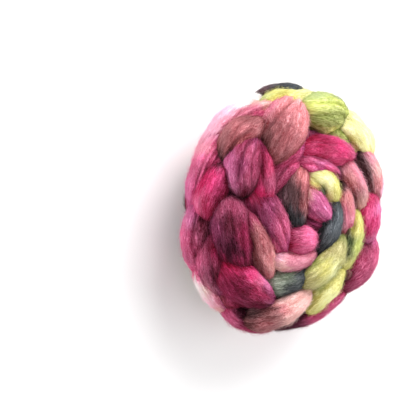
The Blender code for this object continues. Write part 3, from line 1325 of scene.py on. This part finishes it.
@dataclass(frozen=True)
class StreakGroup:
    """The node group of combed fibres: their streaks of colour and their relief.

    Shadow and shine are the power and the factor of the dye in low and in high streaks.
    """

    name: str = "combed_streaks"
    sway: Weave = Weave(4 * MM, 5 * MM, 1.0)
    sway_reach: float = 3.0 * MM
    strand: Weave = Weave(1.4 * MM, 7 * MM, 2.0)
    crimp: Weave = Weave(0.55 * MM, 1.3 * MM, 1.5)
    blotch: Weave = Weave(7 * MM, 15 * MM, 1.0)
    valley: float = 0.16
    valley_share: float = 0.4
    blotch_share: float = 0.35
    middle: float = 0.935
    shadow: tuple[float, float] = (1.5, 0.83)
    shine: tuple[float, float] = (0.8, 1.27)

    def build(self) -> bpy.types.NodeTree:
        """Makes the group, or gives the one that is there.

        The lay is first swayed by smooth noise, so that strands wander. Strands are ridged
        noise, with a narrow valley of painted shade wherever the noise crosses its middle; crimp is
        fine noise on them. The streaks are their weighted sum. Where they are low they paint shade
        on the dye and where they are high a highlight, each by a power and a factor, so
        that pale dyes stay pale.

        Returns:
            The group.
        """
        if self.name in bpy.data.node_groups:
            return bpy.data.node_groups[self.name]
        tree = bpy.data.node_groups.new(self.name, "ShaderNodeTree")
        face, sheet = tree.interface, Sheet(tree)
        for name, way, kind in (
            ("Dye", "INPUT", "Color"), ("Lay", "INPUT", "Vector"), ("Contrast", "INPUT", "Float"),
            ("Colour", "OUTPUT", "Color"), ("Height", "OUTPUT", "Float"),
        ):
            face.new_socket(name=name, in_out=way, socket_type=f"NodeSocket{kind}")
        face.items_tree["Contrast"].default_value = 1.0
        given = sheet.add("NodeGroupInput", {}).outputs
        sway = sheet.sum("SUBTRACT", sheet.noise(given["Lay"], self.sway), 0.5)
        aside = sheet.sum("MULTIPLY", sway, self.sway_reach)
        shift = sheet.add("ShaderNodeCombineXYZ", {"X": aside}).outputs[0]
        inputs = {0: given["Lay"], 1: shift}
        lay = sheet.add("ShaderNodeVectorMath", inputs, operation="ADD").outputs[0]
        centred = sheet.sum("SUBTRACT", sheet.noise(lay, self.strand), 0.5)
        ridge = sheet.sum("ABSOLUTE", centred)
        valley = sheet.sum("DIVIDE", ridge, self.valley, clamp=True)
        valleys = sheet.sum("MULTIPLY", valley, self.valley_share)
        crimp = sheet.noise(lay, self.crimp)
        blotch = sheet.noise(given["Lay"], self.blotch)
        height = sheet.sum("MULTIPLY_ADD", crimp, 1.0, valleys)
        streak = sheet.sum("MULTIPLY_ADD", blotch, self.blotch_share, height)
        off_middle = sheet.sum("SUBTRACT", streak, self.middle)
        scaled = sheet.sum("MULTIPLY", off_middle, given["Contrast"])
        inputs = {
            0: sheet.sum("ADD", scaled, 0.5, clamp=True),
            6: sheet.toned(given["Dye"], self.shadow),
            7: sheet.toned(given["Dye"], self.shine),
        }
        mix = sheet.add("ShaderNodeMix", inputs, data_type="RGBA", clamp_result=True)
        sheet.add("NodeGroupOutput", {"Colour": mix.outputs[2], "Height": height})
        return tree


@dataclass(frozen=True)
class WoolFinish:
    """Matt combed wool, its fibres streaked and in fine relief."""

    name: str
    contrast: float = 1.5
    roughness: float = 1.0
    shine: float = 0.08
    sheen: float = 0.04
    sheen_roughness: float = 0.5
    bump: float = 0.6
    bump_height: float = 0.5 * MM

    def build(self) -> bpy.types.Material:
        """Makes the material: dye streaked with painted shade and highlight, fibre relief and a
        hint of sheen.

        Returns:
            The material.
        """
        material = bpy.data.materials.new(self.name)
        material.use_nodes = True
        tree = material.node_tree
        sheet = Sheet(tree)
        shader = tree.nodes["Principled BSDF"].inputs
        shader["Roughness"].default_value = self.roughness
        shader["Specular IOR Level"].default_value = self.shine
        shader["Sheen Weight"].default_value = self.sheen
        shader["Sheen Roughness"].default_value = self.sheen_roughness
        dye = sheet.add("ShaderNodeVertexColor", {}, layer_name=DYE_AND_SHADE_ATTRIBUTE).outputs["Color"]
        lay = sheet.add("ShaderNodeUVMap", {}, uv_map=LAY_MAP).outputs["UV"]
        streaks = sheet.add("ShaderNodeGroup", {}, node_tree=StreakGroup().build())
        streaks.inputs["Contrast"].default_value = self.contrast
        tree.links.new(dye, streaks.inputs["Dye"])
        tree.links.new(lay, streaks.inputs["Lay"])
        tree.links.new(streaks.outputs["Colour"], shader["Base Color"])
        if self.bump:
            inputs = {"Strength": self.bump, "Distance": self.bump_height,
                      "Height": streaks.outputs["Height"]}
            relief = sheet.add("ShaderNodeBump", inputs)
            tree.links.new(relief.outputs["Normal"], shader["Normal"])
        return material


@dataclass
class LoopGroup:
    """Some of the coil's loops, made as one piece."""

    name: str
    plans: list[PlannedLoop]
    rings: int = 44
    sides: int = 88
    fibre_share: float = 1.0

    def build(self, neighbours: Neighbours, wool: bpy.types.Material) -> list[LoopSurface]:
        """Makes the piece.

        Args:
            neighbours: the balls strung along every loop.
            wool: its finish.

        Returns:
            The loops' surfaces, for the fibres that lie on them.
        """
        maker = LoopMaker(neighbours, self.rings, self.sides)
        surfaces = [maker.make(plan) for plan in self.plans]
        skins = [
            skinned(surface.points, surface.colours, surface.lay, number, len(surfaces))
            for number, surface in enumerate(surfaces)
        ]
        piece_from(self.name, joined(skins), wool)
        return surfaces


@dataclass(frozen=True)
class CoilCore:
    """The inner turns, which close the coil under its loops, dyed dark as painted shade in the gaps
    between them.
    """

    name: str = "inner_turns"
    depth: float = 13 * MM
    rings: int = 72
    sides: int = 120
    ridges: int = 18
    ridge: float = 1.2 * MM
    sway: float = 2
    sway_cells: Size = (12, 6)
    tone_cells: Size = (10, 5)
    wool_across: float = 0.26
    wool_along: float = 0.5
    seed: int = 7

    def build(self, wool: bpy.types.Material) -> None:
        """Makes the core: the body taken in, with ridges that run round it.

        The ridges are a sine of the way over the body, swayed by smooth noise, and more
        noise blends their two dark dyes, wine and maroon, painted shade in the gaps between the
        loops.

        Args:
            wool: its finish.
        """
        along = np.linspace(0, 1, self.rings)[:, None]
        turn = np.linspace(-np.pi, np.pi, self.sides + 1)[None, :-1]
        rng = np.random.default_rng(self.seed)
        place, round_it = np.broadcast_arrays(along, turn / (2 * np.pi))
        sway = lattice_noise(rng, round_it, place, self.sway_cells)
        wave = np.sin(2 * np.pi * self.ridges * place + self.sway * sway)
        azimuth, over = np.broadcast_arrays(turn, np.pi * along)
        points = COIL.point(azimuth, over, self.depth - self.ridge * wave) + COIL.axis
        tone = lattice_noise(rng, round_it, place, self.tone_cells)[..., None]
        # painted shade: the core's dyes run from wine to maroon to stand for the shade seen between
        # the loops
        dark = Dye.WINE.linear + (Dye.MAROON.linear - Dye.WINE.linear) * smooth(tone + 0.5)
        onward = np.linspace(0, 1, self.sides + 1)[None, :] * self.wool_along
        lay = np.stack(np.broadcast_arrays(along * self.wool_across, onward), -1)
        piece_from(self.name, skinned(points[:, ::-1], dark, lay, 0, 1), wool)


def spindles(points: Array, half: Array, colours: Array) -> Faces:
    """The mesh of single fibres, each a three-sided spindle.

    A spindle has a ring of three points about each inner knot and one point at each end.
    Each fibre has a cell of its own in the chart, with its sides next to each other.

    Args:
        points: the knots of each fibre.
        half: half of each one's thickness.
        colours: each one's colour.

    Returns:
        The mesh data.
    """
    count, knots = points.shape[:2]
    ways = unit(np.gradient(points, axis=1))
    sideways = unit(np.cross(ways, points - COIL.middle))
    outward = np.cross(sideways, ways)
    turns = np.radians([90, 210, 330])[:, None]
    about = np.cos(turns) * sideways[:, 1:-1, None] + np.sin(turns) * outward[:, 1:-1, None]
    rings = points[:, 1:-1, None] + half[:, None, None, None] * about
    strung = [points[:, :1], rings.reshape(count, -1, 3), points[:, -1:]]
    vertices = np.concatenate(strung, axis=1)
    each = vertices.shape[1]
    last_ring = each - 4

    side = np.arange(3)
    after = (side + 1) % 3
    knot = np.arange(knots - 3)[:, None]
    ring = 1 + 3 * knot
    quads = np.stack([ring + side, ring + 3 + side, ring + 3 + after, ring + after], -1)
    tips = np.stack([0 * side, 1 + side, 1 + after], -1)
    tails = np.stack([0 * side + each - 1, last_ring + after, last_ring + side], -1)
    fans = np.concatenate([tips, tails])

    def chart(across: list[Array], along: list[Array]) -> Array:
        """Places one fibre's faces in its cell, as shares of its girth and length.

        Args:
            across: sides round it, for each corner in turn.
            along: knots along it, in the same way.

        Returns:
            The corners' places.
        """
        wide, high = np.stack(across, -1) / 3, np.stack(along, -1) / (knots - 1)
        return np.stack(np.broadcast_arrays(wide, high), -1).reshape(-1, 2)

    last = 0 * side + knots - 1
    body = chart([side, side, side + 1, side + 1], [knot + 1, knot + 2, knot + 2, knot + 1])
    tip = chart([side + 0.5, side, side + 1], [0 * side, 0 * side + 1, 0 * side + 1])
    tail = chart([side + 0.5, side + 1, side], [last, last - 1, last - 1])
    cells = math.ceil(math.sqrt(count))
    owner = np.arange(count)
    corner = np.stack([owner % cells, owner // cells], -1)[:, None] + FIBRE_MARGIN
    ends = np.concatenate([tip, tail])
    charts = [(corner + FIBRE_FILL * part).reshape(-1, 2) for part in (body, ends)]
    chart_places = np.concatenate(charts)
    starts = (owner * each)[:, None]
    corners = np.concatenate([(part.ravel() + starts).ravel() for part in (quads, fans)])
    sizes = np.repeat([4, 3], [count * quads.size // 4, count * len(fans)])
    return Faces(
        vertices.reshape(-1, 3), corners, sizes, np.repeat(colours, each, axis=0),
        chart_places * FIBRE_LAY, chart_places / cells,
    )


@dataclass(frozen=True)
class FibreCoat:
    """Single fibres on the loops.

    Attributes:
        name: the piece's name.
        count: how many fibres it has.
        knots: how many points a fibre's middle line has.
        length: shortest and longest.
        thickness: thinnest and thickest.
        lift: how far they stand off the wool at most, least and greatest.
        lean: how far they lean from the lay of the wool, in radians.
        curl: how far they bow aside, as a share of their length.
        free: whether one end stands off, or else both lie down.
        depth: the power that the wool's dye is taken to for theirs, least and greatest.
        along: the part of a loop's length that they start on.
        around: the part of its girth.
        reach: the part of its length that they keep to.
        bow_middle: what is taken off a bow, so that its middle lies on the fibre's line.
        rise_power: the power that a free fibre rises by.
        arch_power: the power of the half sine that a lying one arches by.
        root: how deep their ends are sunk.
        open_air: how far from the next loop they have to be.
        spare: how many places are tried for each fibre.
        seed: the seed of the chances, to which the length of the name is added.
    """

    name: str
    count: int
    knots: int
    length: Range
    thickness: Range
    lift: Range
    lean: float
    curl: float
    free: bool
    depth: Range
    along: Range = (0.05, 0.95)
    around: Range = (0.12, 0.88)
    reach: Range = (0.01, 0.99)
    bow_middle: float = 0.08
    rise_power: float = 1.4
    arch_power: float = 0.8
    root: float = 0.15 * MM
    open_air: float = 0.3 * MM
    spare: float = 3.2
    seed: int = 41

    def on_surface(
        self, surface: LoopSurface, rng: np.random.Generator, count: int
    ) -> tuple[Array, Array, Array]:
        """The middle lines, half thicknesses and colours of the fibres on one loop.

        A fibre starts at a random place in open air and runs along the loop, leaning and
        bowed a little. Its points are read off the surface's grid and lifted along the
        normals, by a power of the way along it or of a half sine.

        Args:
            surface: the loop's surface.
            rng: where the chances come from.
            count: how many places are tried.

        Returns:
            Points of each fibre, its half thickness and its colour.
        """
        rings, sides = surface.points.shape[:2]
        at = rng.uniform(*self.along, count)
        side = rng.uniform(*self.around, count)
        size = rng.uniform(*self.length, count) * rng.choice([-1.0, 1.0], count)
        lean = rng.normal(0, self.lean, count)[:, None]
        bow = rng.normal(0, self.curl, count)[:, None]
        share = np.linspace(-0.5, 0.5, self.knots)
        bend = bow * (share**2 - self.bow_middle)
        forward = np.cos(lean) * share - np.sin(lean) * bend
        aside = np.sin(lean) * share + np.cos(lean) * bend
        along = np.clip(at[:, None] + size[:, None] * forward / surface.length, *self.reach)
        around = side[:, None] + size[:, None] * aside / (2 * np.pi * surface.radius)
        row = along * (rings - 1)
        column = (around % 1) * sides
        low = np.clip(row.astype(int), 0, rings - 2)
        left = column.astype(int) % sides
        right = (left + 1) % sides
        up = (row - low)[..., None]
        over = (column - np.floor(column))[..., None]

        def read(grid: Array) -> Array:
            """Reads a grid between its points, by even steps.

            Args:
                grid: the values at the grid's points.

            Returns:
                The values at the fibres' points.
            """
            near = grid[low, left] * (1 - over) + grid[low, right] * over
            far = grid[low + 1, left] * (1 - over) + grid[low + 1, right] * over
            return near * (1 - up) + far * up

        rise = share + 0.5
        arch = np.sin(np.pi * rise) ** self.arch_power
        profile = rise**self.rise_power if self.free else arch
        lift = rng.uniform(*self.lift, count)[:, None] * profile - self.root
        points = read(surface.points) + unit(read(surface.normals)) * lift[..., None]
        points[..., 2] = np.maximum(points[..., 2], self.root)
        middle = self.knots // 2
        depth = rng.uniform(*self.depth, count)[:, None]
        colours = read(surface.colours)[:, middle] ** depth
        kept = read(surface.open_air[..., None])[:, middle, 0] > self.open_air
        half = rng.uniform(*self.thickness, count) / 2
        return points[kept], half[kept], colours[kept]

    def build(
        self, surfaces: list[LoopSurface], shares: list[float], wool: bpy.types.Material
    ) -> None:
        """Makes the piece of all these fibres.

        Args:
            surfaces: the loops that they lie on.
            shares: how dense they are on each, against the others.
            wool: their finish.
        """
        rng = np.random.default_rng(self.seed + len(self.name))
        areas = np.array([s.length * s.radius * share for s, share in zip(surfaces, shares)])
        tries = (self.spare * self.count * areas / areas.sum()).astype(int)
        found = [self.on_surface(s, rng, int(n)) for s, n in zip(surfaces, tries)]
        points, half, colours = (np.concatenate(parts) for parts in zip(*found))
        keep = rng.permutation(len(points))[: self.count]
        piece_from(self.name, spindles(points[keep], half[keep], colours[keep]), wool)


class Lamp(NamedTuple):
    """A square soft light: its name, where it hangs and its power in watts."""

    name: str
    place: Point
    power: float


@dataclass(frozen=True)
class Studio:
    """A pale floor, soft light and the camera at the picture's angle."""

    floor_half: float = 4.0
    floor_drop: float = 0.2 * MM
    floor_tone: float = 0.92
    floor_roughness: float = 0.8
    world_strength: float = 0.6
    lamp_size: float = 0.8
    lamps: tuple[Lamp, ...] = (
        Lamp("key_light", (0.2, 0.85, 0.7), 15.0),
        Lamp("side_light", (0.95, -0.1, 0.4), 9.0),
        Lamp("rear_light", (-0.95, -0.1, 0.25), 6.0),
    )
    sensor: float = 36.0
    picture_width: int = 416

    @staticmethod
    def turned(
        thing: bpy.types.Object, right: Array, up: Array, back: Array, place: Array
    ) -> None:
        """Puts a light or a camera at a place and turns it.

        Args:
            thing: the light or the camera.
            right: its x.
            up: its y.
            back: its z.
            place: where it stands.
        """
        grid = np.eye(4)
        grid[:3] = np.stack([right, up, back, place], axis=-1)
        thing.matrix_world = Matrix(grid.tolist())

    def floor(self) -> None:
        """Lays the floor, a hair under the coil."""
        half, low = self.floor_half, -self.floor_drop
        mesh = bpy.data.meshes.new("floor")
        square = [(-half, -half, low), (half, -half, low), (half, half, low), (-half, half, low)]
        mesh.from_pydata(square, [], [(0, 1, 2, 3)])
        material = bpy.data.materials.new("pale_floor")
        material.use_nodes = True
        shader = material.node_tree.nodes["Principled BSDF"]
        shader.inputs["Base Color"].default_value = (self.floor_tone,) * 3 + (1,)
        shader.inputs["Roughness"].default_value = self.floor_roughness
        mesh.materials.append(material)
        floor = shown("floor", mesh)

    def light(self, lamp: Lamp) -> None:
        """Hangs a lamp that faces the coil.

        Args:
            lamp: the lamp.
        """
        data = bpy.data.lights.new(lamp.name, "AREA")
        data.size = self.lamp_size
        data.energy = lamp.power
        back = unit(np.array(lamp.place) - COIL.middle)
        right = unit(np.cross([0, 0, 1], back))
        self.turned(shown(lamp.name, data), right, np.cross(back, right), back, lamp.place)

    def surroundings(self) -> None:
        """Lights the coil softly from all round."""
        world = bpy.data.worlds.new("soft_room")
        world.use_nodes = True
        sky = world.node_tree.nodes["Background"]
        sky.inputs["Color"].default_value = (1, 1, 1, 1)
        sky.inputs["Strength"].default_value = self.world_strength
        bpy.context.scene.world = world

    def camera(self) -> None:
        """Sets up the camera where the picture's eye stands."""
        data = bpy.data.cameras.new("camera")
        data.sensor_width = self.sensor
        data.lens = self.sensor * COIL.view_distance / (self.picture_width * COIL.pixel)
        camera = shown("camera", data)
        self.turned(camera, COIL.right, COIL.up, COIL.towards_eye, COIL.eye + COIL.axis)
        bpy.context.scene.camera = camera

    def build(self) -> None:
        """Sets up the whole studio."""
        self.floor()
        self.surroundings()
        for lamp in self.lamps:
            self.light(lamp)
        self.camera()
        bpy.context.scene.view_settings.view_transform = "Standard"


def main() -> None:
    """Builds the studio, the loops, the core and the fibres, and reports each piece."""
    logging.basicConfig(level=logging.INFO, format="%(message)s")
    Studio().build()
    combed = WoolFinish("combed_wool").build()
    loose = WoolFinish("loose_fibre", contrast=0.3, bump=0.0).build()
    tables = {"upper_loops": UPPER_LOOPS, "inner_loops": INNER_LOOPS, "rim_loops": RIM_LOOPS}
    groups = [
        LoopGroup(title, [FORM.placed(name, loop) for name, loop in table.items()])
        for title, table in tables.items()
    ]
    ringed = [plan for name, ring in BACK_RINGS.items() for plan in FORM.ringed(name, ring)]
    groups.append(LoopGroup("back_loops", ringed, rings=32, sides=48, fibre_share=0.3))
    neighbours = Neighbours([plan for group in groups for plan in group.plans])
    surfaces, shares = [], []
    for group in groups:
        surfaces += group.build(neighbours, combed)
        shares += [group.fibre_share] * len(group.plans)
    CoilCore().build(combed)
    coats = [
        FibreCoat("lying_fibres", 9000, 5, (8 * MM, 22 * MM), (0.12 * MM, 0.24 * MM),
                  (0.1 * MM, 0.6 * MM), 0.25, 0.8, False, (0.75, 1.45)),
        FibreCoat("bloom_fibres", 16000, 4, (4 * MM, 10 * MM), (0.11 * MM, 0.2 * MM),
                  (0.3 * MM, 1.3 * MM), 0.6, 0.9, False, (0.72, 1.3)),
        FibreCoat("stray_fibres", 13000, 4, (4 * MM, 12 * MM), (0.07 * MM, 0.11 * MM),
                  (1.0 * MM, 4.0 * MM), 0.9, 0.8, True, (0.65, 1.1)),
    ]
    for coat in coats:
        coat.build(surfaces, shares, loose)


if __name__ == "__main__":
    main()
